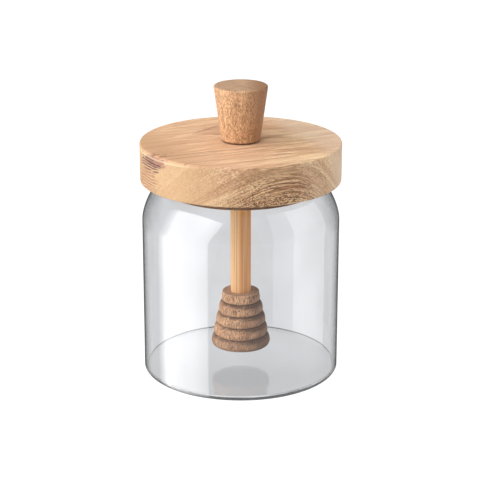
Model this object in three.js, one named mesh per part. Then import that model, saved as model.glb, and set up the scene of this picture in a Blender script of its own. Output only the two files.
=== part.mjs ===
// A round glass jar with a turned wooden lid. A knob that widens upwards stands on the lid, and a
// honey dipper hangs from it inside the jar. Millimetres, +Z up, origin under the base's middle.
import * as THREE from 'three';

// Glass jar
const JAR_RADIUS = 49.3;
const WALL = 1.6;
const BASE_THICKNESS = 2.2;
const FOOT_CORNER = 1.5;
const INNER_CORNER = 2.5;
const SHOULDER_START = 79;
// The shoulder follows a superellipse that the mouth cuts off on its way to the crown.
const SHOULDER_CROWN_RADIUS = 20;
const SHOULDER_CROWN_RISE = 32.55;
const SHOULDER_POWER = 1.6;
const MOUTH_RISE = 19.4;

// Wooden lid, with a plug that drops into the mouth
const GAP = 0.3;
const LID_RADIUS = 50;
const LID_THICKNESS = 19.5;
const LID_EDGE_ROUND = 0.8;
const PLUG_RADIUS = 38;
const PLUG_DEPTH = 5.2;

// Knob
const KNOB_HEIGHT = 27.7;
const KNOB_FOOT_RADIUS = 9.7;
const KNOB_TOP_RADIUS = 13.4;
const KNOB_EDGE_ROUND = 0.9;
const KNOB_SOCKET_DEPTH = 18;

// Honey dipper
const STEM_RADIUS = 5.2;
const STEM_CHAMFER = 0.6;
const HEAD_BOTTOM = 11.6;
const HEAD_SOCKET_DEPTH = 16;
const HEAD_TOP_ROUND = 0.4;
const HEAD_BOTTOM_ROUND = 0.8;
// The rings of the head from the lowest one up. Each is widest at its belly, low on its side.
const RINGS = [
  { height: 5.7, radius: 15 },
  { height: 6, radius: 13.7 },
  { height: 5.7, radius: 12.6 },
  { height: 6, radius: 11.3 },
  { height: 5.1, radius: 9.8 },
];
const BELLY_SHARE = 0.3;
const GROOVE_DEPTH = 0.9;
const END_TAPER = 0.4;

// Facets
const JAR_SEGMENTS = 64;
const LID_SEGMENTS = 80;
const SMALL_SEGMENTS = 40;
const STEM_SEGMENTS = 32;
const SHOULDER_STEPS = 10;
const RIM_STEPS = 6;
const FOOT_STEPS = 4;
const EDGE_STEPS = 3;
const RING_STEPS = 4;

// Points of an arc about (r, z), from one angle to another in degrees, both ends included.
function arc(r, z, radius, from, to, steps) {
  const points = [];
  for (let i = 0; i <= steps; i += 1) {
    const angle = THREE.MathUtils.degToRad(from + ((to - from) * i) / steps);
    points.push([r + radius * Math.cos(angle), z + radius * Math.sin(angle)]);
  }
  return points;
}

// Turns a closed outline of [radius, height] points about Z. It starts on the axis and ends
// there, or it is a loop that stays clear of it.
function turned(name, outline, segments, material) {
  const points = outline.map(([r, z]) => new THREE.Vector2(r, z));
  if (outline[0][0] > 0) {
    points.push(points[0].clone());
  }
  const geometry = new THREE.LatheGeometry(points, segments);
  geometry.rotateX(Math.PI / 2);
  const mesh = new THREE.Mesh(geometry, material);
  mesh.name = name;
  return mesh;
}

function wood(color, roughness) {
  return new THREE.MeshStandardMaterial({ color, roughness, metalness: 0 });
}

// The outside of the shoulder at a rise above its start: a point and the way it faces.
function shoulderPoint(rise) {
  const share = rise / SHOULDER_CROWN_RISE;
  const reach = JAR_RADIUS - SHOULDER_CROWN_RADIUS;
  const rest = 1 - share ** SHOULDER_POWER;
  const radius = SHOULDER_CROWN_RADIUS + reach * rest ** (1 / SHOULDER_POWER);
  const steepness = share ** (SHOULDER_POWER - 1) * rest ** (1 / SHOULDER_POWER - 1);
  const facing = Math.atan((reach / SHOULDER_CROWN_RISE) * steepness);
  return { r: radius, z: SHOULDER_START + rise, facing };
}

// Points up the shoulder, set in from its outside by a depth.
function shoulder(depth) {
  const points = [];
  for (let i = 0; i <= SHOULDER_STEPS; i += 1) {
    const { r, z, facing } = shoulderPoint((MOUTH_RISE * i) / SHOULDER_STEPS);
    points.push([r - depth * Math.cos(facing), z - depth * Math.sin(facing)]);
  }
  return points;
}

// The rim is half a round as thick as the wall.
function rim() {
  const { r, z, facing } = shoulderPoint(MOUTH_RISE);
  const radius = WALL / 2;
  const centre = { r: r - radius * Math.cos(facing), z: z - radius * Math.sin(facing) };
  const start = THREE.MathUtils.radToDeg(facing);
  return { centre, radius, start, top: centre.z + radius };
}

const LID_BOTTOM = rim().top + GAP;
const LID_TOP = LID_BOTTOM + LID_THICKNESS;
const KNOB_BOTTOM = LID_TOP + GAP;
const KNOB_TOP = KNOB_BOTTOM + KNOB_HEIGHT;
const HEAD_TOP = RINGS.reduce((top, ring) => top + ring.height, HEAD_BOTTOM);
const STEM_HOLE_RADIUS = STEM_RADIUS + GAP;

// The jar: flat foot, straight wall, rounded shoulder and a melted rim.
function glassJar() {
  const { centre, radius, start } = rim();
  const inside = JAR_RADIUS - WALL;
  const floorCorner = BASE_THICKNESS + INNER_CORNER;
  const outline = [
    [0, 0],
    ...arc(JAR_RADIUS - FOOT_CORNER, FOOT_CORNER, FOOT_CORNER, -90, 0, FOOT_STEPS),
    ...shoulder(0),
    ...arc(centre.r, centre.z, radius, start, start + 180, RIM_STEPS).slice(1, -1),
    ...shoulder(WALL).reverse(),
    ...arc(inside - INNER_CORNER, floorCorner, INNER_CORNER, 0, -90, FOOT_STEPS),
    [0, BASE_THICKNESS],
  ];
  const glass = new THREE.MeshStandardMaterial({
    color: 0xe6ebee, roughness: 0.03, metalness: 0, transparent: true, opacity: 0.35,
  });
  return turned('glass_jar', outline, JAR_SEGMENTS, glass);
}

// The lid: a thick disc with the plug under it, bored through for the stem.
function lid() {
  const edge = LID_RADIUS - LID_EDGE_ROUND;
  const plugBottom = LID_BOTTOM - PLUG_DEPTH;
  const plugEdge = PLUG_RADIUS - LID_EDGE_ROUND;
  const outline = [
    [STEM_HOLE_RADIUS, plugBottom],
    ...arc(plugEdge, plugBottom + LID_EDGE_ROUND, LID_EDGE_ROUND, -90, 0, EDGE_STEPS),
    [PLUG_RADIUS, LID_BOTTOM],
    ...arc(edge, LID_BOTTOM + LID_EDGE_ROUND, LID_EDGE_ROUND, -90, 0, EDGE_STEPS),
    ...arc(edge, LID_TOP - LID_EDGE_ROUND, LID_EDGE_ROUND, 0, 90, EDGE_STEPS),
    [STEM_HOLE_RADIUS, LID_TOP],
  ];
  return turned('lid', outline, LID_SEGMENTS, wood(0xd9aa7c, 0.62));
}

// The knob: a cone that widens upwards, with a blind socket for the top of the stem.
function knob() {
  const lean = THREE.MathUtils.radToDeg(Math.atan2(KNOB_TOP_RADIUS - KNOB_FOOT_RADIUS, KNOB_HEIGHT));
  const footEdge = KNOB_FOOT_RADIUS - KNOB_EDGE_ROUND;
  const topEdge = KNOB_TOP_RADIUS - KNOB_EDGE_ROUND;
  const socketTop = KNOB_BOTTOM + KNOB_SOCKET_DEPTH;
  const outline = [
    [0, socketTop],
    [STEM_HOLE_RADIUS, socketTop],
    [STEM_HOLE_RADIUS, KNOB_BOTTOM],
    ...arc(footEdge, KNOB_BOTTOM + KNOB_EDGE_ROUND, KNOB_EDGE_ROUND, -90, -lean, EDGE_STEPS),
    ...arc(topEdge, KNOB_TOP - KNOB_EDGE_ROUND, KNOB_EDGE_ROUND, -lean, 90, EDGE_STEPS),
    [0, KNOB_TOP],
  ];
  return turned('knob', outline, SMALL_SEGMENTS, wood(0xc08a5c, 0.7));
}

// The stem: a straight dowel from the head's socket, through the lid, into the knob's socket.
function dipperStem() {
  const bottom = HEAD_TOP - HEAD_SOCKET_DEPTH + GAP;
  const top = KNOB_BOTTOM + KNOB_SOCKET_DEPTH - GAP;
  const outline = [
    [0, bottom],
    [STEM_RADIUS - STEM_CHAMFER, bottom],
    [STEM_RADIUS, bottom + STEM_CHAMFER],
    [STEM_RADIUS, top - STEM_CHAMFER],
    [STEM_RADIUS - STEM_CHAMFER, top],
    [0, top],
  ];
  return turned('dipper_stem', outline, STEM_SEGMENTS, wood(0xe2b277, 0.55));
}

// A quarter of an ellipse between a belly and a groove: upwards from the belly, or up to it.
function bulge(groove, belly, grooveZ, bellyZ) {
  const points = [];
  for (let i = 0; i <= RING_STEPS; i += 1) {
    const angle = ((Math.PI / 2) * i) / RING_STEPS;
    points.push([
      groove + (belly - groove) * Math.cos(angle),
      bellyZ + (grooveZ - bellyZ) * Math.sin(angle),
    ]);
  }
  return grooveZ < bellyZ ? points.reverse() : points;
}

// The outside of a ring from its lower edge up. A groove lies a little way in from the ring above
// it. The head's flat ends have small rounded edges instead.
function ringSide(index, bottom) {
  const { height, radius } = RINGS[index];
  const above = RINGS[index + 1];
  const top = bottom + height;
  const belly = bottom + BELLY_SHARE * height;
  const lowEdge = radius - END_TAPER - HEAD_BOTTOM_ROUND;
  const highEdge = radius - END_TAPER - HEAD_TOP_ROUND;
  const under = index === 0
    ? [...arc(lowEdge, bottom + HEAD_BOTTOM_ROUND, HEAD_BOTTOM_ROUND, -90, 0, EDGE_STEPS), [radius, belly]]
    : bulge(radius - GROOVE_DEPTH, radius, bottom, belly);
  const over = above
    ? bulge(above.radius - GROOVE_DEPTH, radius, top, belly)
    : arc(highEdge, top - HEAD_TOP_ROUND, HEAD_TOP_ROUND, 0, 90, EDGE_STEPS);
  return [...under, ...over.slice(above ? 1 : 0)];
}

// The head: turned rings that widen downwards, with a blind socket in its flat top.
function dipperHead() {
  const socketBottom = HEAD_TOP - HEAD_SOCKET_DEPTH;
  const outline = [[0, HEAD_BOTTOM]];
  let bottom = HEAD_BOTTOM;
  RINGS.forEach((ring, i) => {
    // A ring starts in the groove where the one below it ends.
    outline.push(...ringSide(i, bottom).slice(i === 0 ? 0 : 1));
    bottom += ring.height;
  });
  outline.push([STEM_HOLE_RADIUS, HEAD_TOP], [STEM_HOLE_RADIUS, socketBottom], [0, socketBottom]);
  return turned('dipper_head', outline, SMALL_SEGMENTS, wood(0xa5765a, 0.78));
}

const group = new THREE.Group();
group.add(glassJar(), lid(), knob(), dipperStem(), dipperHead());

export default group;
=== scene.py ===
# %% [markdown]
# A glass jar with a turned wooden lid, a wooden knob and a honey dipper.
# The packed model says where every piece sits and how big it is. This lesson makes the fine
# surfaces over it: clear blown glass, three kinds of turned wood and a bamboo dowel.
# Every piece here is round about one upright axis, so one lathe helper makes all five of them.

# %% Load the frame
import math

import bmesh
import bpy
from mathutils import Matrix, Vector, noise


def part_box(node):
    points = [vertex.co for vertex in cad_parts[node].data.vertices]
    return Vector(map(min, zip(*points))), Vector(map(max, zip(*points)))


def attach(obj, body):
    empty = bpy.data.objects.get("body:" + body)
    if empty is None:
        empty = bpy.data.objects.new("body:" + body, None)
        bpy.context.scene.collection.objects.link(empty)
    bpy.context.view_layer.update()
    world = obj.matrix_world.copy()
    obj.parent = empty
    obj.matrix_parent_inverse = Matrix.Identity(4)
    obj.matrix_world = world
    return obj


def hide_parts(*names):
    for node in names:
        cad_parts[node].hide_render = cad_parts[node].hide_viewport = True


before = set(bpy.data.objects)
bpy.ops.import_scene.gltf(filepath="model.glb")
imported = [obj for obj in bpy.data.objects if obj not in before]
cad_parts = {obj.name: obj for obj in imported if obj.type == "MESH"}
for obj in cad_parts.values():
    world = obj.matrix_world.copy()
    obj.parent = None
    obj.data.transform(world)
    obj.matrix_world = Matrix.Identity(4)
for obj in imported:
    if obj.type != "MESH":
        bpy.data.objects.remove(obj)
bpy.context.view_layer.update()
print("nodes:", sorted(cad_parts))

# %% [markdown]
# The frame gives each node's box in metres. A maker thinks in millimetres, so the sizes are read
# once, turned into millimetres, and kept by name. What a box can't say, such as the thickness of
# the glass, follows as a named size of its own. The knob ends a thousandth of a millimetre lower
# than the model, so that rounding can't lift it out of the model's box.

# %% Read the sizes
MM = 0.001
CLEAR_OF_BOX = 0.001


def reach(node):
    """The outer radius, the lowest height and the highest height of a node, in millimetres."""
    low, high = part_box(node)
    return high.x / MM, low.z / MM, high.z / MM


jar_radius, _, jar_rim = reach("glass_jar")
lid_radius, plug_bottom, lid_top = reach("lid")
knob_top_radius, knob_bottom, model_top = reach("knob")
knob_top = model_top - CLEAR_OF_BOX
stem_radius, stem_bottom, stem_top = reach("dipper_stem")
_, head_bottom, head_top = reach("dipper_head")
print(f"jar radius {jar_radius:.1f}, rim at {jar_rim:.1f}, lid top at {lid_top:.1f} mm")
print(f"stem {stem_bottom:.1f} to {stem_top:.1f}, head {head_bottom:.1f} to {head_top:.1f} mm")

# %% [markdown]
# A turned piece starts as an outline: a list of points, each a radius and a height. Outlines are
# straight stretches joined by arcs. Long straight stretches get points in between as well, so
# that the surface can wander there.

# %% Arcs and straight stretches
def arc(r, z, radius, start, end, steps):
    """Points of an arc about (r, z), from one angle to another in degrees."""
    angles = [math.radians(start + (end - start) * i / steps) for i in range(steps + 1)]
    return [(r + radius * math.cos(a), z + radius * math.sin(a)) for a in angles]


def line(start, end, steps):
    """Points along a straight line, without its two ends."""
    (r0, z0), (r1, z1) = start, end
    shares = [i / steps for i in range(1, steps)]
    return [(r0 + (r1 - r0) * s, z0 + (z1 - z0) * s) for s in shares]


print("halfway along a line of length 2:", line((0, 0), (2, 0), 2))

# %% [markdown]
# A lathe turns an outline about an axis. Blender's Screw modifier does that too, but here a small
# function does it in mesh code. It gives each point a chance to wander a little, so that no two
# sides of a wooden piece are alike, and it can store a number at every point, such as how deep
# the point lies in a groove, for a material to read later.

# %% The lathe
SHARP_FROM = 50


def turn(name, outline, segments, wander=None, depth=None):
    """Turns an outline of (radius, height) points about Z into a closed mesh object.

    wander(r, z, angle) gives a point's new radius. depth(r, z) is kept in the mesh as 'depth'.
    """
    body = bmesh.new()
    layer = body.verts.layers.float.new("depth")
    rings = []
    for r, z in outline:
        ring = []
        for i in range(segments if r > 0 else 1):
            angle = 2 * math.pi * i / segments
            far = wander(r, z, angle) if wander and r > 0 else r
            place = Vector((far * math.cos(angle), far * math.sin(angle), z)) * MM
            ring.append(body.verts.new(place))
            ring[-1][layer] = depth(r, z) if depth else 0.0
        rings.append(ring)
    clear_of_axis = outline[0][0] > 0
    pairs = list(zip(rings, rings[1:])) + ([(rings[-1], rings[0])] if clear_of_axis else [])
    for low, high in pairs:
        for i in range(segments):
            j = (i + 1) % segments
            corners = [low[i % len(low)], low[j % len(low)], high[j % len(high)], high[i % len(high)]]
            body.faces.new(list(dict.fromkeys(corners)))
    bmesh.ops.recalc_face_normals(body, faces=body.faces)
    mesh = bpy.data.meshes.new(name)
    body.to_mesh(mesh)
    body.free()
    mesh.shade_smooth()
    mesh.set_sharp_from_angle(angle=math.radians(SHARP_FROM))
    piece = bpy.data.objects.new(name, mesh)
    bpy.context.scene.collection.objects.link(piece)
    print(f"{name}: {len(mesh.vertices)} points, {len(mesh.polygons)} faces")
    return piece


print("the lathe keeps an edge sharp from", SHARP_FROM, "degrees")

# %% [markdown]
# The jar is blown glass with a straight wall and a shoulder that curves in to the mouth. The
# shoulder is a superellipse: it leaves the wall gently and turns in faster and faster. The mouth
# cuts it off on its way to the crown. A curve drawn by eye would do for the outside. A formula
# also gives the way that each point faces, so the inside can be set in from the outside by the
# thickness of the glass.

# %% The shoulder of the jar
WALL = 1.6
SHOULDER_START = 79.0
CROWN_RADIUS = 20.0
CROWN_RISE = 32.55
SHOULDER_POWER = 1.6
MOUTH_RISE = 19.4


def shoulder(inset, steps=48):
    """Points up the shoulder, set in from its outside, and the way its last one faces."""
    points = []
    side = jar_radius - CROWN_RADIUS
    for i in range(steps + 1):
        rise = MOUTH_RISE * i / steps
        share = rise / CROWN_RISE
        rest = 1 - share**SHOULDER_POWER
        r = CROWN_RADIUS + side * rest ** (1 / SHOULDER_POWER)
        steepness = share ** (SHOULDER_POWER - 1) * rest ** (1 / SHOULDER_POWER - 1)
        facing = math.atan(side / CROWN_RISE * steepness)
        z = SHOULDER_START + rise
        points.append((r - inset * math.cos(facing), z - inset * math.sin(facing)))
    return points, math.degrees(facing)


outside, mouth_facing = shoulder(0)
inside, _ = shoulder(WALL)
rim_centre = shoulder(WALL / 2)[0][-1]
print(f"the mouth is {2 * inside[-1][0]:.1f} mm across inside")

# %% [markdown]
# The jar's outline runs up the outside, over a rim that a flame has melted round, and down the
# inside. So the glass has a real thickness and light bends in it twice, which draws lines at its
# edges, together with the shade painted there. A Solidify modifier could thicken the outside
# instead, but it makes no round rim and no thicker floor. The outer side is marked with a one,
# for the glass's tint and its painted dark edge.

# %% The glass jar
BASE_THICKNESS = 2.2
FOOT_CORNER = 1.5
INNER_CORNER = 0.35
GLASS_SEGMENTS = 242

inner_radius = jar_radius - WALL
foot_radius = jar_radius - FOOT_CORNER
floor_radius = inner_radius - INNER_CORNER
corner_top = BASE_THICKNESS + INNER_CORNER
jar_outline = [(0, 0), *line((0, 0), (foot_radius, 0), 8)]
jar_outline += arc(foot_radius, FOOT_CORNER, FOOT_CORNER, -90, 0, 10)
jar_outline += line((jar_radius, FOOT_CORNER), (jar_radius, SHOULDER_START), 24) + outside
jar_outline += arc(*rim_centre, WALL / 2, mouth_facing, mouth_facing + 180, 12)[1:-1]
jar_outline += inside[::-1]
jar_outline += line((inner_radius, SHOULDER_START), (inner_radius, corner_top), 24)
jar_outline += arc(floor_radius, corner_top, INNER_CORNER, 0, -90, 14)
jar_outline += line((floor_radius, BASE_THICKNESS), (0, BASE_THICKNESS), 8)
jar_outline += [(0, BASE_THICKNESS)]


def outer_side(r, z):
    """One on the outside of the wall and shoulder, nought on the inside and under the foot."""
    on_wall = r > inner_radius + WALL / 2 or (r, z) in outside
    return 1.0 if on_wall and z > 0.01 else 0.0


jar = turn("jar_glass", jar_outline, GLASS_SEGMENTS, depth=outer_side)

# %% [markdown]
# The lid is one thick disc with a plug under it that drops into the mouth. A sander has eased
# its edges a little, so they catch a line of light. A hole through the middle takes the stem. Two
# cylinders, a bevel and a boolean cut would make it too, but one outline holds it all. The plug
# and the underside round it are marked, because hardly any light reaches them.

# %% The lid
PLUG_RADIUS = 38.0
PLUG_DEPTH = 5.2
LID_EDGE = 0.8
STEM_HOLE = stem_radius + 0.3
WOOD_SEGMENTS = 192

lid_bottom = plug_bottom + PLUG_DEPTH
lid_edge = lid_radius - LID_EDGE
lid_outline = [(STEM_HOLE, plug_bottom)]
lid_outline += arc(PLUG_RADIUS - LID_EDGE, plug_bottom + LID_EDGE, LID_EDGE, -90, 0, 6)
lid_outline += [(PLUG_RADIUS, lid_bottom)]
lid_outline += arc(lid_edge, lid_bottom + LID_EDGE, LID_EDGE, -90, 0, 6)
lid_outline += line((lid_radius, lid_bottom + LID_EDGE), (lid_radius, lid_top - LID_EDGE), 12)
lid_outline += arc(lid_edge, lid_top - LID_EDGE, LID_EDGE, 0, 90, 6)
lid_outline += line((lid_edge, lid_top), (STEM_HOLE, lid_top), 12) + [(STEM_HOLE, lid_top)]


def under_lid(r, z):
    """One on the plug and on the underside round it, nought on the rest of the lid."""
    return 1.0 if z < lid_bottom + 0.1 and r < lid_edge else 0.0


lid = turn("lid_wood", lid_outline, WOOD_SEGMENTS, depth=under_lid)

# %% [markdown]
# The knob is a cone that stands on its small end. Its two edges are rounded, and the round at
# its foot leaves the fine dark line that shows where it meets the lid. A perfect cone looks like
# plastic, so its side wanders by as much as sanding by hand leaves.

# %% The knob
KNOB_FOOT_RADIUS = 9.7
KNOB_EDGE = 0.9
KNOB_SOCKET = 18.0
SANDED_OFF = 0.05

knob_lean = math.degrees(math.atan2(knob_top_radius - KNOB_FOOT_RADIUS, knob_top - knob_bottom))
foot_edge = KNOB_FOOT_RADIUS - KNOB_EDGE
foot_round = arc(foot_edge, knob_bottom + KNOB_EDGE, KNOB_EDGE, -90, -knob_lean, 8)
top_round = arc(knob_top_radius - KNOB_EDGE, knob_top - KNOB_EDGE, KNOB_EDGE, -knob_lean, 90, 8)
socket_top = knob_bottom + KNOB_SOCKET
knob_outline = [(0, socket_top), (STEM_HOLE, socket_top), (STEM_HOLE, knob_bottom)]
knob_outline += foot_round + line(foot_round[-1], top_round[0], 40) + top_round
knob_outline += line(top_round[-1], (0, knob_top), 8) + [(0, knob_top)]


def hand_sanded(r, z, angle):
    """A turned wooden face after sanding: never more than a few hundredths off true."""
    spot = Vector((r * math.cos(angle), r * math.sin(angle), z))
    return r - SANDED_OFF * (0.5 + 0.5 * noise.noise(spot * 0.35))


knob = turn("knob_wood", knob_outline, WOOD_SEGMENTS, wander=hand_sanded)

# %% [markdown]
# The stem is a bamboo dowel. Bamboo splits into straight fibres, so its round side is really many
# narrow flats and ridges that run its whole length. They follow the angle and hardly the height.
# A bump in the material could hint at them, but in the mesh they also show in its outline.

# %% The dipper's stem
STEM_CHAMFER = 0.6
RIDGE_HEIGHT = 0.09
RIDGES_ROUND = 3.2


def ridged(r, z, angle):
    """The dowel's radius at an angle: shallow flats along its length."""
    spot = Vector((math.cos(angle) * RIDGES_ROUND, math.sin(angle) * RIDGES_ROUND, z * 0.012))
    return r - RIDGE_HEIGHT * (0.5 + 0.5 * noise.noise(spot))


stem_outline = [(0, stem_bottom), (stem_radius - STEM_CHAMFER, stem_bottom)]
stem_outline += [(stem_radius, stem_bottom + STEM_CHAMFER)]
stem_outline += line((stem_radius, stem_bottom), (stem_radius, stem_top), 40)
stem_outline += [(stem_radius, stem_top - STEM_CHAMFER), (stem_radius - STEM_CHAMFER, stem_top)]
stem_outline += [(0, stem_top)]
stem = turn("stem_bamboo", stem_outline, WOOD_SEGMENTS, wander=ridged)

# %% [markdown]
# The head holds honey in the grooves between its rings. A ring bulges like a bead: it is widest
# low on its side, at its belly, and from there it curves up and in under the ring above. Both
# curves are quarters of an ellipse. The lowest and the highest ring end in flat faces with small
# rounded edges instead.

# %% The side of a ring
# The height and the belly's radius of each ring, from the lowest one up.
HEAD_RINGS = [(5.7, 15.0), (6.0, 13.7), (5.7, 12.6), (6.0, 11.3), (5.1, 9.8)]
BELLY_SHARE = 0.3
GROOVE_DEPTH = 0.9
END_TAPER = 0.4
HEAD_TOP_ROUND = 0.4
HEAD_BOTTOM_ROUND = 0.8


def bulge(groove, belly, groove_z, belly_z, steps=14):
    """A quarter of an ellipse from a ring's belly to a groove, as points from the lower end up."""
    points = []
    for i in range(steps + 1):
        angle = math.pi / 2 * i / steps
        r = groove + (belly - groove) * math.cos(angle)
        points.append((r, belly_z + (groove_z - belly_z) * math.sin(angle)))
    return points[::-1] if groove_z < belly_z else points


def ring_side(index, bottom):
    """The outside of a ring from its lower edge up to the groove or the flat face above it."""
    height, radius = HEAD_RINGS[index]
    top = bottom + height
    belly_z = bottom + BELLY_SHARE * height
    end_radius = radius - END_TAPER
    if index == 0:
        low_edge = end_radius - HEAD_BOTTOM_ROUND
        side = arc(low_edge, bottom + HEAD_BOTTOM_ROUND, HEAD_BOTTOM_ROUND, -90, 0, 8)
        side.append((radius, belly_z))
    else:
        side = bulge(radius - GROOVE_DEPTH, radius, bottom, belly_z)[1:]
    if index < len(HEAD_RINGS) - 1:
        radius_above = HEAD_RINGS[index + 1][1]
        return side + bulge(radius_above - GROOVE_DEPTH, radius, top, belly_z)[1:]
    side += line((radius, belly_z), (end_radius, top - HEAD_TOP_ROUND), 8)
    return side + arc(end_radius - HEAD_TOP_ROUND, top - HEAD_TOP_ROUND, HEAD_TOP_ROUND, 0, 90, 8)


print("the lowest ring has", len(ring_side(0, head_bottom)), "points up its side")

# %% [markdown]
# Five rings on top of each other make the head, with a blind socket for the stem in its top. The
# cutter tears short fibres out of the edges, so the side is rougher than the knob's. The depth
# below each ring's own belly is stored in the mesh: the material paints shade where it is large.

# %% The dipper's head
HEAD_SOCKET = 16.0
FULL_DEPTH = 1.6
WOBBLE = 0.10
TORN_OUT = 0.14
TOP_FACE = 0.5
GROOVE_LINE = 0.01

head_outline = [(0, head_bottom), *line((0, head_bottom), ring_side(0, head_bottom)[0], 6)]
ring_spans = []
ring_bottom = head_bottom
for index, (height, radius) in enumerate(HEAD_RINGS):
    head_outline += ring_side(index, ring_bottom)
    ring_spans.append((ring_bottom, ring_bottom + height, radius))
    ring_bottom += height
print(f"head: rings end at {ring_bottom:.1f} mm, the model says {head_top:.1f} mm")

socket_bottom = head_top - HEAD_SOCKET
head_outline += line((head_outline[-1][0], head_top), (STEM_HOLE, head_top), 5)
head_outline += [(STEM_HOLE, head_top), (STEM_HOLE, socket_bottom), (0, socket_bottom)]


def groove_depth(r, z):
    """How far a point of the side lies below the belly of its ring, from 0 to 1."""
    if z >= head_top - TOP_FACE:
        return 0.0
    for low, high, radius in ring_spans:
        ends_in_groove = high < head_top - TOP_FACE
        if low <= z < high - (GROOVE_LINE if ends_in_groove else 0.0):
            return min(max((radius - r) / FULL_DEPTH, 0), 1)
    # A point on the line of a groove counts as deepest.
    return 1.0


def rough_turned(r, z, angle):
    """A coarse turned face: a slow wobble, and short torn fibres that run up the piece."""
    spot = Vector((r * math.cos(angle), r * math.sin(angle), z))
    torn = noise.noise(Vector((spot.x * 1.6, spot.y * 1.6, spot.z * 0.5)))
    return r - WOBBLE * (0.5 + 0.5 * noise.noise(spot * 0.3)) - TORN_OUT * max(torn, 0)


head = turn("head_wood", head_outline, WOOD_SEGMENTS, wander=rough_turned, depth=groove_depth)

# %% [markdown]
# Each finish is a small graph of shader nodes. They can be linked by hand in the shader editor,
# but the lid alone has over a hundred. So a helper adds a node, fills its inputs and gives back
# what the next node needs. A value that stays the same all over a piece goes straight onto the
# shader's own socket.

# %% Wiring nodes
class Wiring:
    """A node tree on which nodes are added one after another."""

    def __init__(self, tree):
        self.tree = tree
        tree.nodes.clear()

    def plug(self, socket, value):
        """Fills a socket with a link from another node or with a plain value."""
        if isinstance(value, bpy.types.NodeSocket):
            self.tree.links.new(value, socket)
        else:
            socket.default_value = value

    def add(self, kind, inputs=None, **settings):
        """Adds a node, sets its properties, and fills its inputs."""
        node = self.tree.nodes.new("ShaderNode" + kind)
        for key, value in settings.items():
            setattr(node, key, value)
        for key, value in (inputs or {}).items():
            self.plug(node.inputs[key], value)
        return node

    def math(self, operation, a, b=0.0, c=0.0):
        """A sum, product or other result of up to three numbers."""
        return self.add("Math", {0: a, 1: b, 2: c}, operation=operation).outputs[0]

    def vector(self, operation, a, b):
        """The same for two vectors."""
        return self.add("VectorMath", {0: a, 1: b}, operation=operation).outputs[0]

    def product(self, first, *others):
        """Multiplies all the numbers that it is given."""
        for other in others:
            first = self.math("MULTIPLY", first, other)
        return first

    def split(self, vector):
        """The X, Y and Z of a vector."""
        return self.add("SeparateXYZ", {0: vector}).outputs[0:3]

    def stored(self, name):
        """The number that the mesh keeps at every point under a name."""
        return self.add("Attribute", attribute_name=name).outputs["Fac"]

    def swap(self, ray, usual, instead):
        """Shows one kind of ray another shader than the usual one."""
        kind = self.add("LightPath").outputs[ray]
        return self.add("MixShader", {0: kind, 1: usual, 2: instead}).outputs[0]


print("wiring helpers:", [name for name in vars(Wiring) if name[0] != "_"])

# %% [markdown]
# A pattern in wood is noise that has been pushed towards yes or no. A Color Ramp node can do the
# pushing. Here a Map Range node does it, because it says in plain numbers where the change starts
# and where it ends. Noise can also be drawn out, so that its lumps turn into streaks.

# %% Curves and noise
class Patterns(Wiring):
    """Wiring with curves and noise."""

    def ease(self, value, low, high, at_low, at_high):
        """Moves smoothly from one value to another as the input goes from low to high."""
        inputs = {"Value": value, "From Min": low, "From Max": high, "To Min": at_low, "To Max": at_high}
        return self.add("MapRange", inputs, interpolation_type="SMOOTHSTEP").outputs["Result"]

    def rise(self, value, low, high, top=1.0):
        """Nought up to the low value, then smoothly up to the top at the high one."""
        return self.ease(value, low, high, 0.0, top)

    def fade(self, value, low, high, top=1.0):
        """The top up to the low value, then smoothly down to nought at the high one."""
        return self.ease(value, low, high, top, 0.0)

    def band(self, value, low, high, soft_low, soft_high):
        """One between two limits and nought outside them, with soft edges."""
        start = self.rise(value, low - soft_low, low + soft_low)
        return self.product(start, self.fade(value, high - soft_high, high + soft_high))

    def noise(self, vector, scale, detail=2.0, roughness=0.5):
        """Smooth noise between nought and one. A larger scale makes smaller lumps."""
        inputs = {"Vector": vector, "Scale": scale, "Detail": detail, "Roughness": roughness}
        return self.add("TexNoise", inputs).outputs["Fac"]

    def lumps(self, vector, size, detail=2.0, roughness=0.5):
        """Noise whose lumps have a size of their own along X, Y and Z."""
        return self.noise(self.vector("MULTIPLY", vector, [1 / s for s in size]), 1.0, detail, roughness)

    def swing(self, noise, reach):
        """Turns noise into a shift of up to a reach either way."""
        return self.ease(noise, 0.2, 0.8, -reach, reach)


print("pattern helpers:", [name for name in vars(Patterns) if name[0] != "_"])

# %% [markdown]
# Colour is built up as a painter glazes: each layer is a colour and the share of the coat that it
# covers, and one Mix node lays it on. An image painted by hand would do too, but it would need
# the mesh unwrapped and would blur close to. The coat so far stays on the bench, so that any
# later cell can add to it.

# %% Painting a coat
class Bench(Patterns):
    """Patterns with a coat of colour that is painted in layers."""

    coat = None

    def blend(self, share, a, b):
        """Mixes two colours."""
        node = self.add("Mix", {0: share}, data_type="RGBA")
        for socket, colour in ((node.inputs[6], a), (node.inputs[7], b)):
            self.plug(socket, (*colour, 1) if isinstance(colour, tuple) else colour)
        return node.outputs[2]

    def paint(self, colour, *shares):
        """Lays a colour over the coat. It covers as much as the product of the shares says."""
        self.coat = self.blend(self.product(*shares), self.coat, colour)


def new_finish(name):
    """A new material and the bench that its nodes are wired on."""
    material = bpy.data.materials.new(name)
    material.use_nodes = True
    print("a finish named", name)
    return material, Bench(material.node_tree)


print("painting helpers:", [name for name in vars(Bench) if name[0] != "_"])
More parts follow.
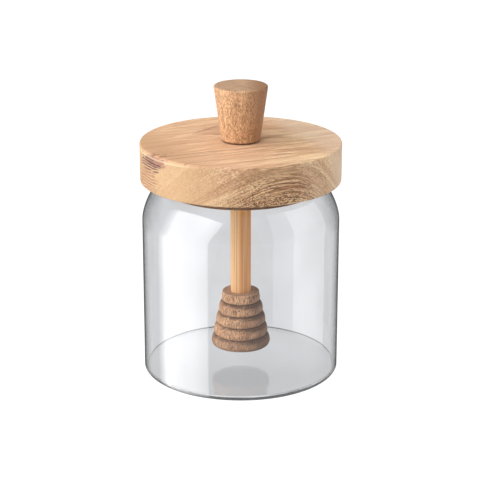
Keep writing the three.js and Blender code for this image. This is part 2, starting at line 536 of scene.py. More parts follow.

# %% [markdown]
# Clear glass has little colour to paint: its look is what it bends and mirrors. The shader is a
# Principled one with full transmission, and its coat tints what passes. A trace of grey stands
# for the faint smokiness of the jar against a white page. Where the surface is met nearly along
# it, a dark grey is painted by that angle: painted shade for the dark rims of the glass. The
# glass is thicker where it turns in at the shoulder, so the painted dark edge is wider there.
# The solid foot gets the same painted shade. Only the outer side is tinted so, by the number
# that was stored in the mesh.

# %% The tint of the glass
GLASS_GREY = (0.93, 0.935, 0.945)
EDGE_SHADE_GREY = (0.018, 0.019, 0.02)
FOOT_SHADE_GREY = (0.08, 0.082, 0.085)
WALL_EDGE_FROM = 0.63
SHOULDER_EDGE_FROM = 0.40
EDGE_FULL = 0.84
TURNING = 4.0

glass, bench = new_finish("glass")
place = bench.add("TexCoord").outputs["Object"]
height = bench.split(place)[2]
outer = bench.stored("depth")
facing = bench.add("LayerWeight").outputs["Facing"]
turn_in = [(SHOULDER_START + way * TURNING) * MM for way in (-1, 1)]
edge_from = bench.ease(height, *turn_in, WALL_EDGE_FROM, SHOULDER_EDGE_FROM)
foot_shade = bench.fade(height, (BASE_THICKNESS - 0.3) * MM, (BASE_THICKNESS + 0.05) * MM)
bench.coat = GLASS_GREY
# Painted shade: dark grey on the outer side where it is met nearly along it, and round the foot.
bench.paint(EDGE_SHADE_GREY, bench.rise(facing, edge_from, EDGE_FULL), outer)
bench.paint(FOOT_SHADE_GREY, foot_shade, outer)
print(f"the dark edge widens over {2 * TURNING:.0f} mm about {SHOULDER_START:.0f} mm up")

# %% [markdown]
# Blown glass is never quite flat, so slow waves bend its surface a little. Shadow rays and soft
# light pass straight through, because bending them would cost thousands of samples and the wood
# inside would stay dark.

# %% The glass
GLASS_BEND = 1.47
OPEN_AIR = (0.995, 0.995, 0.995, 1)

waves = bench.noise(place, 22.0, 1.0)
ripple = bench.add("Bump", {"Height": waves, "Strength": 0.03, "Distance": 0.002})
clear = bench.add("BsdfPrincipled", {"Base Color": bench.coat, "Normal": ripple.outputs[0]})
clear.inputs["Transmission Weight"].default_value = 1.0
clear.inputs["Roughness"].default_value = 0.0
clear.inputs["IOR"].default_value = GLASS_BEND
open_air = bench.add("BsdfTransparent", {"Color": OPEN_AIR}).outputs[0]
for_shadows = bench.swap("Is Shadow Ray", clear.outputs[0], open_air)
for_soft_light = bench.swap("Is Diffuse Ray", for_shadows, open_air)
bench.add("OutputMaterial", {"Surface": for_soft_light})
jar.data.materials.append(glass)
print("glass bends light by", GLASS_BEND)

# %% [markdown]
# Wood is made of rings round the middle of the trunk, and a board is a slice through them. So the
# pattern is worked out in the solid, not painted on the surface. It starts from a space in
# millimetres that follows the grain. The shader of bare wood is the same for all four pieces: a
# colour, a relief for the bumps, and a roughness that varies with the fibres.

# %% The space and the surface of wood
def grain_space(bench, turned_by=0.0, lean=0.0):
    """Object coordinates in millimetres. The angles turn a lying board's X along its grain."""
    place = bench.add("TexCoord").outputs["Object"]
    angles = (0, math.radians(lean), math.radians(-turned_by))
    return bench.add("Mapping", {"Vector": place, "Rotation": angles, "Scale": (1 / MM,) * 3}).outputs[0]


def surface(bench, piece, finish, relief, roughness, lift, gloss=0.35):
    """Gives a piece the shader of bare sanded wood, in the colours of the bench's coat."""
    bump = bench.add("Bump", {"Height": relief, "Strength": 1.0, "Distance": lift * MM}).outputs[0]
    skin = bench.add("BsdfPrincipled", {"Base Color": bench.coat, "Roughness": roughness, "Normal": bump})
    skin.inputs["Specular IOR Level"].default_value = gloss
    bench.add("OutputMaterial", {"Surface": skin.outputs[0]})
    piece.data.materials.append(finish)
    print(piece.name, "is finished with", len(bench.tree.nodes), "nodes")


print("wood is worked out in millimetres:", 1 / MM, "to the metre")

# %% [markdown]
# The lid is a pale board whose grain runs from the left front to the right back. The growth
# layers lean by about 43 degrees, so the top cuts them in straight lines and the side cuts them
# in one wide arch with its crown at the front right. The number called layer says how far up
# through the growth layers a point lies. Slow noise keeps the layers from being flat, and the
# arch falls faster on its right side than on its left.

# %% The layers of the lid's wood
LID_GRAIN_ANGLE = 24.5
LID_GRAIN_LEAN = 1.5
LAYER_LEAN = 43.0

lid_finish, bench = new_finish("lid_wood")
grain = grain_space(bench, LID_GRAIN_ANGLE, LID_GRAIN_LEAN)
along, across, height = bench.split(grain)
lean = math.radians(LAYER_LEAN)
lid_middle = (lid_bottom + lid_top) / 2
rise = bench.math("MULTIPLY_ADD", height, math.cos(lean), -math.cos(lean) * lid_middle)
layer = bench.math("MULTIPLY_ADD", across, math.sin(lean), rise)
slow = bench.lumps(grain, (80, 30, 30), detail=1.0)
quick = bench.lumps(grain, (25, 9, 9))
for bend in (bench.swing(slow, 1.4), bench.swing(quick, 0.4), bench.rise(along, 6.0, 45.0, 6.0)):
    layer = bench.math("ADD", layer, bend)
print(f"the board's middle is {lid_middle:.1f} mm up")

# %% [markdown]
# Several sizes of line lie over each other: the growth layers a few millimetres apart, threads
# that follow them, fibres less than a millimetre wide, short dark pores, and long thin brown
# hairs. A Wave texture draws rings too, but all alike. Noise that is drawn out by the right
# amounts gives lines that start, thicken and end by themselves.

# %% The lines in the lid's wood
LAYER_SPACING = 2.4


def streaks(length, thickness, detail, roughness=0.6, drop=None):
    """Noise in streaks that follow the growth layers. A drop makes them change with height too."""
    place = {0: bench.math("DIVIDE", along, length), 2: bench.math("DIVIDE", layer, thickness)}
    if drop:
        place[1] = bench.math("DIVIDE", height, drop)
    return bench.noise(bench.add("CombineXYZ", place).outputs[0], 1.0, detail, roughness)


ring = bench.math("FRACT", bench.math("DIVIDE", layer, LAYER_SPACING))
late = bench.product(bench.math("POWER", ring, 3.0), bench.fade(ring, 0.9, 1.0))
band = streaks(60.0, 4.0, detail=2.0)
thread = streaks(40.0, 2.2, detail=3.0, roughness=0.7)
fine = bench.lumps(grain, (34.0, 0.7, 0.7), detail=4.0, roughness=0.75)
pores = bench.lumps(grain, (4.5, 0.5, 0.5), detail=1.0, roughness=0.6)
hairs = bench.lumps(grain, (50.0, 0.32, 0.32), detail=1.0)
hair_zone = bench.ease(bench.lumps(grain, (40, 5, 5)), 0.35, 0.6, 0.35, 1.0)
print("growth layers", LAYER_SPACING, "mm apart")

# %% [markdown]
# The board is pale tan. Cream and brown are laid over it where the lines are light or dark, from
# the widest line to the finest, as they lie in the real wood. Far left the wood is golden. Far
# right a pale ashen tone is painted over it: painted light from the right.

# %% The ground colours of the lid
SAPWOOD = (0.95, 0.705, 0.43)
BOARD = (0.72, 0.435, 0.24)
LATEWOOD = (0.50, 0.265, 0.15)
HAIR_BROWN = (0.42, 0.21, 0.125)
GOLDEN = (0.50, 0.31, 0.155)
ASHEN_LIGHT = (0.78, 0.60, 0.46)

bench.coat = BOARD
bench.paint(SAPWOOD, bench.rise(band, 0.42, 0.57))
bench.paint(LATEWOOD, late, bench.ease(band, 0.7, 0.3, 0.1, 0.5))
bench.paint(LATEWOOD, bench.rise(thread, 0.53, 0.63, 0.7))
bench.paint(SAPWOOD, bench.fade(thread, 0.32, 0.47, 0.8))
bench.paint(LATEWOOD, bench.rise(fine, 0.50, 0.60, 0.6))
bench.paint(SAPWOOD, bench.fade(fine, 0.40, 0.49, 0.75))
bench.paint(LATEWOOD, bench.rise(pores, 0.58, 0.68, 0.4))
bench.paint(HAIR_BROWN, bench.rise(hairs, 0.55, 0.61, 0.85), hair_zone)
bench.paint(GOLDEN, bench.rise(along, -20.0, -40.0, 0.78))
# Painted light: the far right of the board is painted paler, for the light from the right.
bench.paint(ASHEN_LIGHT, bench.rise(along, 26.0, 40.0, 0.5))
print("the lid has", len(bench.tree.nodes), "nodes so far")

# %% [markdown]
# A few layers stand out on the top as darker lines. They drift a little as they run, and break
# up in places. Noise could make such lines, but not where the real board has them, so each has
# its own place. The whole top is a shade redder than the side.

# %% The dark lines on the lid's top
# How far across the grain each line lies, how wide it is, and how strong.
TOP_LINES = [
    (-15.6, 0.8, 1.0),
    (-21.0, 0.8, 0.8),
    (-31.0, 0.8, 0.8),
    (-38.0, 0.9, 0.4),
    (2.5, 0.7, 0.4),
    (28.0, 1.2, 0.4),
]
LINE_BROWN = (0.31, 0.14, 0.085)
TOP_TAN = (0.72, 0.40, 0.25)

wander = bench.swing(bench.lumps(grain, (30, 30, 30)), 1.4)
drifted = bench.math("MULTIPLY_ADD", along, 0.07, bench.math("ADD", across, wander))
patchy = bench.ease(bench.lumps(grain, (22, 3, 3)), 0.35, 0.50, 0.55, 1.0)
on_top = bench.rise(height, lid_top - 0.7, lid_top - 0.1)
for line_across, width, strength in TOP_LINES:
    off = bench.math("ABSOLUTE", bench.math("SUBTRACT", drifted, line_across))
    near = bench.fade(off, 0.35 * width, width, strength)
    bench.paint(LINE_BROWN, near, patchy, on_top)
bench.paint(TOP_TAN, on_top, 0.38)
print(len(TOP_LINES), "dark lines on the top")

# %% [markdown]
# Behind the knob the layers close in a brown tip, where a knot lay under the board. From its tip
# it opens like a V. A V could be two more lines, but one number draws both limbs and the wood
# between them: the spread, which is how far aside a point lies for its distance from the tip.
# The limbs are darker than what lies between them.

# %% The knot on the lid's top
KNOT_TINT = (0.44, 0.21, 0.125)
KNOT_TIP_ALONG = -14.8
KNOT_TIP_ACROSS = 20.4

from_tip = bench.math("SUBTRACT", along, KNOT_TIP_ALONG)
aside = bench.math("ABSOLUTE", bench.math("SUBTRACT", across, KNOT_TIP_ACROSS))
spread = bench.math("DIVIDE", aside, bench.math("MAXIMUM", from_tip, 0.5))
spread = bench.math("ADD", spread, bench.swing(fine, 0.12))
between = bench.fade(spread, 0.40, 0.60, 0.40)
limbs = bench.math("ADD", between, bench.band(spread, 0.40, 0.56, 0.06, 0.08))
length = bench.product(bench.rise(from_tip, -0.5, 1.5), bench.fade(from_tip, 12.0, 26.0))
bench.paint(KNOT_TINT, length, limbs, on_top, 0.75)
print("the knot's tip lies", KNOT_TIP_ACROSS, "mm across the grain")

# %% [markdown]
# Heartwood is darker because the tree has filled its cells. On the side it lies under the arch,
# with a brown line along its edge. Its limit is one level of the growth layers, so the arch draws
# itself, and ragged noise breaks it up. The heartwood is strongest at the front and thins out to
# both sides. On the right its thinning and a paler tone are painted light from the right.

# %% The lid's heartwood
HEART_LEVEL = -28.5
HEARTWOOD = (0.62, 0.30, 0.13)
HEART_PALE_LIT = (0.88, 0.66, 0.48)
ARCH_BROWN = (0.33, 0.145, 0.065)

level = bench.math("ADD", layer, bench.swing(streaks(22.0, 1.8, detail=3.0), 3.0))
under_arch = bench.fade(level, HEART_LEVEL - 8.0, HEART_LEVEL + 2.0)
from_left = bench.ease(along, -36.0, -12.0, 0.35, 1.0)
# Painted light: on the right the heartwood is thinned and paled, for the light from the right.
lit_right = bench.ease(along, 10.0, 26.0, 1.0, 0.32)
in_heart = bench.product(under_arch, from_left, lit_right)
arch = bench.band(level, HEART_LEVEL - 1.6, HEART_LEVEL + 0.6, 1.4, 1.4)
heart = bench.blend(bench.rise(along, 6.0, 24.0), HEARTWOOD, HEART_PALE_LIT)
bench.paint(heart, in_heart, 0.62)
bench.paint(ARCH_BROWN, arch, 0.42)
print("heartwood below layer", HEART_LEVEL)

# %% [markdown]
# In the heartwood the layers show as fine brown and cream streaks. Short dark dashes lie over
# them, and low down the cut crosses the cells and peppers the wood with dots.

# %% The streaks, dashes and dots of the heartwood
STREAK_AND_SHADE = (0.13, 0.065, 0.035)

flow = streaks(24.0, 0.6, detail=2.0, drop=9.0)
bench.paint(ARCH_BROWN, bench.rise(flow, 0.51, 0.57, 0.95), in_heart)
bench.paint(SAPWOOD, bench.fade(flow, 0.38, 0.48, 0.7), in_heart)
dashes = bench.lumps(grain, (5.0, 0.36, 0.36), detail=1.0)
dash_zone = bench.product(in_heart, bench.band(along, -22.0, 14.0, 6.0, 6.0))
bench.paint(STREAK_AND_SHADE, bench.rise(dashes, 0.54, 0.61, 0.9), dash_zone)
dots = bench.lumps(grain, (0.8, 0.45, 0.45), detail=1.0)
low_down = bench.product(in_heart, bench.ease(height, lid_bottom + 3.0, lid_bottom + 8.0, 1.0, 0.1))
bench.paint(STREAK_AND_SHADE, bench.rise(dots, 0.53, 0.66, 0.6), low_down)
bench.paint(SAPWOOD, bench.fade(dots, 0.34, 0.47, 0.75), low_down)
print(f"dots are thickest below {lid_bottom + 3.0:.1f} mm")

# %% [markdown]
# High on the left the side cuts straight across the grain, and a bruise shows there: a patch of
# mauve wood under the top edge, and beside it dark hatching. The hatching is broken strokes
# that run level, as a saw leaves them, and it goes on in brown lower down. Each patch is a blot:
# an ellipsoid in the solid wood whose edge is roughened by noise.

# %% The bruised end grain
MAUVE = (0.27, 0.115, 0.08)
HATCH = (0.05, 0.02, 0.022)
STROKE_SPACING = 1.4
BRUISE_ALONG = -48.0

ragged_edge = bench.swing(bench.lumps(grain, (3, 3, 1.5)), 0.35)


def blot(centre, radii, softness):
    """A ragged patch about a place in grain coordinates, in millimetres."""
    moved = bench.vector("ADD", grain, [-c for c in centre])
    scaled = bench.vector("MULTIPLY", moved, [1 / r for r in radii])
    far = bench.add("VectorMath", {0: scaled}, operation="LENGTH").outputs["Value"]
    return bench.fade(bench.math("ADD", far, ragged_edge), 1 - softness, 1 + softness)


sway = bench.swing(bench.lumps(grain, (7, 7, 4), detail=1.0), 0.5)
saw_mark = bench.math("FRACT", bench.math("DIVIDE", bench.math("ADD", height, sway), STROKE_SPACING))
broken = bench.rise(bench.lumps(grain, (6, 8, 1.1), detail=1.0), 0.20, 0.30)
strokes = bench.product(bench.band(saw_mark, 0.22, 0.78, 0.12, 0.12), broken)
bench.paint(MAUVE, blot((BRUISE_ALONG, -9.5, lid_top - 1.9), (14, 8.5, 2.8), 0.2), 0.85)
bench.paint(HATCH, blot((BRUISE_ALONG, -2.0, lid_top - 4.5), (16, 11.0, 4.0), 0.22), strokes)
bench.paint(LINE_BROWN, blot((BRUISE_ALONG, 2.5, lid_top - 12.5), (16, 13, 7), 0.4), strokes, 0.85)
print("the bruise's strokes are", STROKE_SPACING, "mm apart")

# %% [markdown]
# Along the top edge on the left a strip of bright cream is painted: a painted highlight where the
# edge meets the light from the left. The plug and the underside get painted shade: from above
# they are only seen as a dark crescent below the lid. Last come the relief and the satin shine,
# which follow the fibres and the pores.

# %% The lid's edge, underside and shine
CREAM_HIGHLIGHT = (0.96, 0.78, 0.52)
UNDERSIDE_SHADE = (0.20, 0.105, 0.06)

# Painted highlight: a cream strip just below the top edge on the left.
edge_highlight = bench.rise(height, lid_top - 1.6, lid_top - 0.9)
not_on_top = bench.fade(height, lid_top - 0.5, lid_top - 0.1)
bench.paint(CREAM_HIGHLIGHT, edge_highlight, bench.rise(along, -30.0, -44.0), not_on_top, 0.35)
# Painted shade on the plug and on the underside round it.
bench.paint(UNDERSIDE_SHADE, bench.stored("depth"), 0.85)
relief = bench.math("SUBTRACT", bench.product(fine, 0.6), bench.rise(pores, 0.6, 0.72, 0.5))
surface(bench, lid, lid_finish, relief, bench.ease(fine, 0.2, 0.8, 0.5, 0.66), lift=0.22)

# %% [markdown]
# The knob and the dipper's head are turned from a redder wood with its grain upright. What shows
# is its open pores. They could be small scratches on the surface, but as drawn-out lumps in the
# solid one pattern gives dashes on the side, where it is cut along, and dots on the top, where it
# is cut across. The grain sways a little, and the end grain is greyer.

# %% Upright open-pored wood
def pored_wood(name, pale, deep, pore_colour, end_colour, pore_width, pore_length):
    """The coat of upright open-pored wood, and the numbers that a finish needs to go on."""
    finish, bench = new_finish(name)
    grain = grain_space(bench)
    slowed = bench.vector("MULTIPLY", grain, (0.3, 0.3, 0.16))
    sway = bench.add("TexNoise", {"Vector": slowed, "Scale": 1.0}).outputs["Color"]
    sway = bench.vector("ADD", sway, (-0.5, -0.5, -0.5))
    swayed = bench.vector("ADD", bench.vector("MULTIPLY", sway, (1.6, 1.6, 1.0)), grain)
    mottle = bench.lumps(swayed, (2.2, 2.2, 14.0), detail=3.0)
    dashes = bench.lumps(swayed, (pore_width, pore_width, pore_length), detail=1.0)
    grit = bench.lumps(swayed, (0.3, 0.3, 0.9), detail=1.0)
    pores = bench.rise(dashes, 0.52, 0.60)
    bench.coat = pale
    bench.paint(deep, bench.rise(mottle, 0.20, 0.80))
    bench.paint(pore_colour, pores, 0.68)
    bench.paint(pale, bench.fade(dashes, 0.30, 0.46), 0.50)
    bench.paint(pore_colour, bench.rise(grit, 0.50, 0.75, 0.35))
    facing_up = bench.split(bench.add("NewGeometry").outputs["Normal"])[2]
    end_grain = bench.rise(bench.math("ABSOLUTE", facing_up), 0.7, 0.95)
    bench.paint(end_colour, end_grain, 0.55)
    return finish, bench, grain, pores, dashes, facing_up


print("the same wood makes the knob and the head")

# %% [markdown]
# The knob's pores are short and fine. Its right side gets painted shade, and a thin line of
# painted shade runs round its foot, where it meets the lid.

# %% The knob's wood
KNOB_PALE = (0.97, 0.61, 0.35)
KNOB_RED = (0.67, 0.365, 0.19)
KNOB_PORE = (0.27, 0.12, 0.05)
KNOB_END = (0.52, 0.35, 0.24)
KNOB_RIGHT_SHADE = (0.33, 0.155, 0.075)

knob_finish, bench, grain, pores, dashes, _ = pored_wood(
    "knob_wood", KNOB_PALE, KNOB_RED, KNOB_PORE, KNOB_END, pore_width=0.25, pore_length=1.6
)
to_the_right, _, height = bench.split(grain)
# Painted shade on the knob's right side.
bench.paint(KNOB_RIGHT_SHADE, bench.rise(to_the_right, 0.0, 11.0, 0.8))
# Painted shade: a thin dark line round the knob's foot, where it meets the lid.
bench.paint(STREAK_AND_SHADE, bench.fade(height, knob_bottom + 0.2, knob_bottom + 1.1, 0.85))
print(f"the dark line at the foot is at {knob_bottom:.1f} mm")

# %% [markdown]
# Turned end grain dries faster than the side and cracks. One bent crack crosses the knob's top.
# It is made in a space of its own, turned and moved so that X runs along the crack, and it is
# only a millimetre deep, so that the side stays whole.

# %% The crack in the knob's top
CRACK_LENGTH = 9.0
CRACK_ANGLE = 38
CRACK_SHIFT = (-4.5, 2.4, -knob_top)

turned = {"Vector": grain, "Rotation": (0, 0, math.radians(CRACK_ANGLE)), "Location": CRACK_SHIFT}
along, across, deep = bench.split(bench.add("Mapping", turned).outputs[0])
bend = bench.product(bench.math("SUBTRACT", bench.noise(grain, 0.35), 0.5), 2.2)
off = bench.math("ABSOLUTE", bench.math("ADD", across, bend))
within = bench.fade(bench.math("ABSOLUTE", along), 0.3 * CRACK_LENGTH, CRACK_LENGTH)
shallow = bench.fade(bench.math("ABSOLUTE", deep), 0.2, 1.2)
crack = bench.product(bench.fade(off, 0.1, 0.6), within, shallow)
bench.paint(KNOB_PORE, crack, 0.7)
relief = bench.math("SUBTRACT", bench.product(pores, -1.0), crack)
surface(bench, knob, knob_finish, relief, bench.ease(dashes, 0.3, 0.7, 0.5, 0.68), lift=0.2)

# %% [markdown]
# The head is the same kind of wood, more weathered. Its grooves get painted shade, by the depth
# that was stored in the mesh, in uneven patches. An Ambient Occlusion node finds grooves as well,
# but it has to cast more rays at every point. Pores near the grooves get painted shade too. The
# right side gets painted shade, most of all between the bellies of the rings, and the lowest
# ring is darker. The flat face below it is painted dark grey.

# %% The head's wood
HEAD_PALE = (0.95, 0.56, 0.31)
HEAD_DEEP = (0.60, 0.31, 0.17)
HEAD_PORE = (0.13, 0.07, 0.045)
HEAD_END = (0.42, 0.28, 0.20)
GROOVE_SHADE = (0.16, 0.085, 0.052)
UNDER_HEAD = (0.20, 0.19, 0.185)
HEAD_DARK = (0.17, 0.11, 0.085)

head_finish, bench, grain, pores, dashes, facing_up = pored_wood(
    "head_wood", HEAD_PALE, HEAD_DEEP, HEAD_PORE, HEAD_END, pore_width=0.36, pore_length=3.0
)
to_the_right, _, height = bench.split(grain)
depth = bench.stored("depth")
uneven_shade = bench.ease(bench.lumps(grain, (4.0, 4.0, 2.0)), 0.38, 0.58, 0.3, 1.0)
# Painted shade in the grooves, by the stored depth, in uneven patches, and specked along pores.
bench.paint(GROOVE_SHADE, bench.rise(depth, 0.15, 0.85), uneven_shade, 0.9)
bench.paint(GROOVE_SHADE, bench.rise(depth, 0.0, 0.25), bench.rise(dashes, 0.46, 0.58), 0.35)
bench.paint(UNDER_HEAD, bench.fade(facing_up, -0.9, -0.7), 0.9)
# Painted shade on the head's right side, strongest between the bellies of the rings.
bench.paint(HEAD_DARK, bench.rise(to_the_right, 2.0, 12.0, 0.7))
bench.paint(GROOVE_SHADE, bench.rise(depth, 0.02, 0.45), bench.rise(to_the_right, -4.0, 8.0), 0.95)
bench.paint(HEAD_DARK, bench.fade(height, head_bottom + 4.0, head_bottom + 7.0, 0.34))
head_roughness = bench.ease(dashes, 0.3, 0.7, 0.62, 0.8)
surface(bench, head, head_finish, bench.product(pores, -1.0), head_roughness, lift=0.16, gloss=0.25)

# %% [markdown]
# Bamboo has no rings: it is a bundle of brown fibres in a pale ground with bands of honey, all
# dead straight. It needs none of the lid's layers: noise that is drawn out far along the stem
# leaves only lines.

# %% The stem's bamboo
BAMBOO_PALE = (0.98, 0.60, 0.29)
BAMBOO_HONEY = (0.93, 0.42, 0.14)
BAMBOO_FIBRE = (0.55, 0.24, 0.09)

stem_finish, bench = new_finish("stem_bamboo")
grain = grain_space(bench)
wide = bench.lumps(grain, (1.6, 1.6, 130), detail=1.0)
narrow = bench.lumps(grain, (0.55, 0.55, 110), detail=1.0)
bench.coat = BAMBOO_PALE
bench.paint(BAMBOO_HONEY, bench.rise(wide, 0.38, 0.62))
bench.paint(BAMBOO_FIBRE, bench.rise(narrow, 0.51, 0.62, 0.65))
bench.paint(BAMBOO_PALE, bench.fade(narrow, 0.28, 0.42, 0.5))
surface(bench, stem, stem_finish, narrow, bench.ease(narrow, 0.3, 0.7, 0.45, 0.47), lift=0.08)

# %% [markdown]
# The jar stands on a plain white table. The photograph is printed so bright that the table is
# pure white and holds no shadow, so the camera sees it as a lit page. To the wood it is an
# ordinary white surface that throws light back up. Rays bent by the glass go through it to the
# studio beyond, which is greyer than the page, and the glass doesn't mirror it.

# %% The table
TABLE_SIZE = 6.0
TABLE_WHITE = (0.60, 0.60, 0.61)
PAGE_LIGHT = 1.1

bpy.ops.mesh.primitive_plane_add(size=TABLE_SIZE)
table = bpy.context.object
table.name = "table"
table_finish, bench = new_finish("table_white")
cloudy = bench.noise(bench.add("TexCoord").outputs["Object"], 3.0)
bench.coat = TABLE_WHITE
bench.paint(tuple(1.04 * c for c in TABLE_WHITE), bench.rise(cloudy, 0.3, 0.7))
dull = bench.ease(cloudy, 0.3, 0.7, 0.88, 0.92)
matt = bench.add("BsdfPrincipled", {"Base Color": bench.coat, "Roughness": dull}).outputs[0]
page = bench.add("Emission", {"Color": (1, 1, 1, 1), "Strength": PAGE_LIGHT}).outputs[0]
shown = bench.swap("Is Camera Ray", matt, page)
shown = bench.swap("Is Transmission Ray", shown, bench.add("BsdfTransparent").outputs[0])
bench.add("OutputMaterial", {"Surface": shown})
table.data.materials.append(table_finish)
table.visible_glossy = False
print("the table is", TABLE_SIZE, "m wide")

# %% [markdown]
# Glass is lit by what stands round it, so the studio is painted on the world by direction. The
# azimuth is nought towards the front, where the photograph was taken from, and grows to the
# right. The elevation is nought at the horizon. Both are in degrees. Real boxes and sheets would
# show through the glass wherever its walls mirror them. Here a ray that the glass has bent and a
# ray that it has mirrored see different things, so that each can be set apart.

# %% Directions in the studio
world = bpy.data.worlds.new("studio")
world.use_nodes = True
bpy.context.scene.world = world
bench = Bench(world.node_tree)
way = bench.add("TexCoord").outputs["Generated"]
right, back, up = bench.split(way)
turned_right = bench.math("ARCTAN2", right, bench.product(back, -1.0))
azimuth = bench.product(turned_right, math.degrees(1))
elevation = bench.product(bench.math("ARCSINE", up), math.degrees(1))
turned_back = bench.math("ABSOLUTE", azimuth)
rays = bench.add("LightPath").outputs
bent = rays["Is Transmission Ray"]
mirrored = rays["Is Reflection Ray"]
print("directions take", len(world.node_tree.nodes), "nodes")

# %% [markdown]
# Behind the jar hangs a lit grey sheet with faint folds. Below it lies the table, which looks
# greyer through the glass than beside it. Rays that the glass bends past the sheet reach a room
# that is a little darker, so the sides of the jar turn greyer than its middle.

# %% The sheet behind the jar and the room beyond
SHEET_HALF_WIDTH = 31.0
SHEET_LIGHT = 0.80
SHEET_LIGHT_BELOW = 0.44
SHEET_LIGHT_ABOVE = 0.90
SHEET_TOP = 48.0
TABLE_FROM = -26.0
DARK_ROOM = 0.10
PALE_ROOM_THROUGH_GLASS = 0.52

sheet_edge = 180 - SHEET_HALF_WIDTH
behind = bench.rise(turned_back, sheet_edge - 6, sheet_edge + 6)
lit_table = bench.fade(elevation, TABLE_FROM - 5, TABLE_FROM + 3)
sheet_light = bench.ease(elevation, -24.0, -22.0, SHEET_LIGHT_BELOW, SHEET_LIGHT)
brighter_above = bench.ease(elevation, -10.0, 8.0, 1.0, SHEET_LIGHT_ABOVE / SHEET_LIGHT)
folds = bench.ease(bench.noise(way, 26.0, 2.0, 0.4), 0.3, 0.7, 0.93, 1.06)
below_top = bench.fade(elevation, SHEET_TOP - 6, SHEET_TOP + 6)
sheet = bench.product(
    bench.math("MAXIMUM", behind, lit_table), sheet_light, brighter_above, folds, below_top, bent
)
room = bench.math("MULTIPLY_ADD", bent, PALE_ROOM_THROUGH_GLASS, DARK_ROOM)
seen_through = bench.math("MAXIMUM", sheet, room)
print("the sheet is", 2 * SHEET_HALF_WIDTH, "degrees wide")

# %% [markdown]
# What the glass mirrors starts with pale walls all round, except straight behind the jar. They
# are darker above than below, and a little darker at the right rear. Without them the glass would
# mirror black and look dirty.

# %% The walls that the glass mirrors
PALE_WALLS = 0.60
PALE_WALLS_ABOVE = 0.25

walls = bench.math("SUBTRACT", 1.0, bench.rise(turned_back, 180 - 32.0, 180 - 14.0))
wall_light = bench.ease(elevation, -12.0, 10.0, PALE_WALLS, PALE_WALLS_ABOVE)
walls = bench.product(walls, wall_light, bench.ease(azimuth, 95.0, 125.0, 1.0, 0.75), mirrored)
print("walls of brightness", PALE_WALLS)

# %% [markdown]
# A tall white softbox on the left makes the broad white stripe down the jar. It could be a lamp,
# but as a patch of the world it makes no noise and each of its edges can be bent. It stands near:
# its left edge leans at the foot, its right edge leans out as it climbs, and its top falls away
# to the left. Its light grows from the left edge inwards and weakens a little to the right.

# %% The softbox on the left
BOX_LIGHT = 8.2
BOX_LEFT_AT_FOOT = -112.0
BOX_LEFT = -101.0
BOX_RIGHT = -38.0
BOX_LEAN = 16.4
LEAN_FROM = -20.0
LEAN_OVER = 55.0
BOX_TOP = 37.0
TOP_MIDDLE = -46.0
TOP_FALL = 12.0
TOP_OVER = 50.0
BOX_FOOT = -50.0

left_edge = bench.ease(elevation, -22.0, 2.0, BOX_LEFT_AT_FOOT, BOX_LEFT)
climb = bench.math("MULTIPLY_ADD", elevation, 1 / LEAN_OVER, -LEAN_FROM / LEAN_OVER)
climb = bench.math("POWER", bench.math("MAXIMUM", climb, 0.0), 1.9)
right_edge = bench.math("MULTIPLY_ADD", climb, BOX_LEAN, BOX_RIGHT)
off_middle = bench.math("MULTIPLY_ADD", azimuth, 1 / TOP_OVER, -TOP_MIDDLE / TOP_OVER)
top_edge = bench.math("MULTIPLY_ADD", bench.math("POWER", off_middle, 2.0), -TOP_FALL, BOX_TOP)
from_left = bench.math("SUBTRACT", azimuth, left_edge)
from_right = bench.math("SUBTRACT", azimuth, right_edge)
from_top = bench.math("SUBTRACT", elevation, top_edge)
sides = bench.product(bench.rise(from_left, -2.0, 1.5), bench.fade(from_right, -2.5, 1.5))
ends = bench.product(bench.fade(from_top, -1.5, 1.0), bench.rise(elevation, BOX_FOOT - 3, BOX_FOOT + 3))
brightness = bench.ease(from_left, 0.0, 19.0, 1.0, BOX_LIGHT)
weaker_right = bench.ease(from_right, -22.0, 0.0, 1.0, 0.62)
softbox = bench.product(sides, ends, brightness, weaker_right, mirrored)
print("the softbox is", BOX_LIGHT, "times as bright as a white page")

# %% [markdown]
# A weaker panel on the right makes the pale stripe there, in the same way. It starts in two
# steps and weakens towards its outer side. Its foot is cut off at a slight slope, so that the
# stripe ends level with the jar's floor.

# %% The panel on the right
PANEL_LIGHT = 3.4
PANEL_LIGHT_OUTSIDE = 0.42 * PANEL_LIGHT
PANEL_STEP_FROM = 36.0
PANEL_FROM = 63.5
PANEL_TO = 114.0
FIRST_STEP = 0.45
PANEL_FOOT = -21.0
FOOT_SLOPE = 0.0092

first = bench.rise(azimuth, PANEL_STEP_FROM, PANEL_STEP_FROM + 3, FIRST_STEP)
second = bench.rise(azimuth, PANEL_FROM - 1, PANEL_FROM + 1, 1 - FIRST_STEP)
within = bench.fade(azimuth, PANEL_TO - 1.5, PANEL_TO + 1.5)
brightness = bench.ease(azimuth, PANEL_FROM, PANEL_TO, PANEL_LIGHT, PANEL_LIGHT_OUTSIDE)
sloped = bench.math("MULTIPLY_ADD", azimuth, FOOT_SLOPE, elevation)
foot = bench.rise(sloped, PANEL_FOOT - 0.15, PANEL_FOOT + 0.15)
top = bench.fade(elevation, 45.0, 65.0)
panel = bench.product(bench.math("ADD", first, second), within, brightness, foot, top, mirrored)
print("the panel reaches from", PANEL_STEP_FROM, "to", PANEL_TO, "degrees")

# %% [markdown]
# Soft light on the wood comes from an even, much weaker room that is brighter overhead, and the
# lamps give it its shape. So the glass and the wood can be lit apart. The camera itself sees a
# white page.

# %% The studio put together
ROOM_FOR_WOOD = 0.12
CEILING_FOR_WOOD = 0.42
WHITE_PAGE = 1.2
COOL_WHITE = (0.985, 0.99, 1.0, 1)

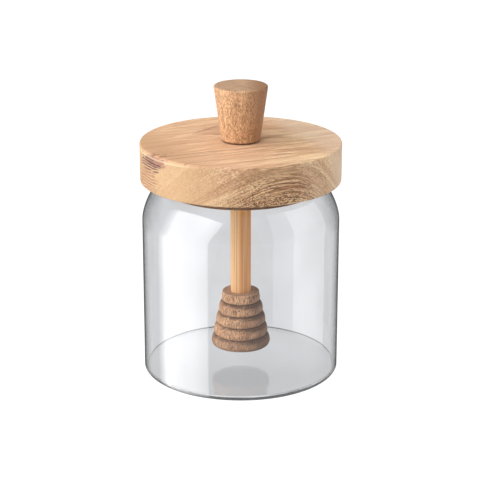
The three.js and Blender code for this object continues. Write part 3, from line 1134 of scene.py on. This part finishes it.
boxes = bench.math("ADD", softbox, panel)
for_glass = bench.math("ADD", bench.math("ADD", seen_through, boxes), walls)
for_wood = bench.ease(elevation, 10.0, 70.0, ROOM_FOR_WOOD, CEILING_FOR_WOOD)
from_glass = bench.math("MAXIMUM", bent, rays["Is Glossy Ray"])
light = bench.math("MULTIPLY_ADD", from_glass, bench.math("SUBTRACT", for_glass, for_wood), for_wood)
studio = bench.add("Background", {"Color": COOL_WHITE, "Strength": light}).outputs[0]
page = bench.add("Background", {"Color": (1, 1, 1, 1), "Strength": WHITE_PAGE}).outputs[0]
bench.add("OutputWorld", {"Surface": bench.swap("Is Camera Ray", studio, page)})
print("the studio has", len(world.node_tree.nodes), "nodes")

# %% [markdown]
# The wood is lit by large lamps that the glass doesn't mirror: a broad one on the left that does
# most of the work, one high above it, and a low one on the right, a little behind the jar, that
# brightens the lid's far edge. A sun lamp would be simpler, but its shadows have hard edges, and
# the photograph has soft ones.

# %% The lamps
MIDDLE = Vector((0, 0, 0.09))


def soft_lamp(name, azimuth, elevation, distance, size, brightness):
    """A square lamp aimed at the jar's middle. At brightness 1 it shows white paper as white."""
    a, e = math.radians(azimuth), math.radians(elevation)
    way = Vector((math.sin(a) * math.cos(e), -math.cos(a) * math.cos(e), math.sin(e)))
    lamp = bpy.data.lights.new(name, "AREA")
    lamp.size = size
    lamp.energy = brightness * (math.pi * distance) ** 2
    holder = bpy.data.objects.new(name, lamp)
    holder.location = MIDDLE + way * distance
    holder.rotation_euler = way.to_track_quat("Z", "Y").to_euler()
    holder.visible_glossy = False
    holder.visible_transmission = False
    holder.visible_camera = False
    bpy.context.scene.collection.objects.link(holder)
    print(f"{name}: {lamp.energy:.1f} watts")


soft_lamp("key_left", azimuth=-60, elevation=26, distance=0.7, size=1.2, brightness=1.76)
soft_lamp("top_soft", azimuth=-75, elevation=66, distance=0.65, size=1.0, brightness=0.72)
soft_lamp("rim_right", azimuth=105, elevation=12, distance=0.9, size=0.5, brightness=0.42)

# %% [markdown]
# The photograph was taken with a long lens from a little above. Its distance, height and lens
# come from fitting the ovals of the lid, the knob and the foot, and they stay named here.

# %% The camera
CAMERA_DISTANCE = 0.79309
CAMERA_HEIGHT = 0.33032
CAMERA_LEFT = 0.0004
CAMERA_DIP = 18.387
LENS = 124.47

camera_data = bpy.data.cameras.new("camera")
camera_data.lens = LENS
camera_data.sensor_width = 36.0
camera = bpy.data.objects.new("camera", camera_data)
camera.location = (-CAMERA_LEFT, -CAMERA_DISTANCE, CAMERA_HEIGHT)
camera.rotation_euler = (math.radians(90 - CAMERA_DIP), 0, 0)
bpy.context.scene.collection.objects.link(camera)
bpy.context.scene.camera = camera
print("the camera looks down by", CAMERA_DIP, "degrees")

# %% [markdown]
# Plain colours come out as set with the Standard view. Light has to pass many glass faces and
# back, so the limits on bounces are raised.

# %% How light is carried
scene = bpy.context.scene
scene.view_settings.view_transform = "Standard"
scene.cycles.max_bounces = 24
scene.cycles.transmission_bounces = 20
scene.cycles.glossy_bounces = 12
scene.cycles.transparent_max_bounces = 24
print("light may bounce", scene.cycles.max_bounces, "times")

# %% [markdown]
# Last, each piece is tied to the model: the table says what it stands for and which finish it
# carries, each piece moves with the root, and the model's own node is hidden.

# %% Tie the pieces to the frame
dressed = {
    "glass_jar": (jar, "glass"),
    "lid": (lid, "lid_wood"),
    "knob": (knob, "knob_wood"),
    "dipper_stem": (stem, "stem_bamboo"),
    "dipper_head": (head, "head_wood"),
}
for node, (piece, slot) in dressed.items():
    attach(piece, "root")
    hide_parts(node)
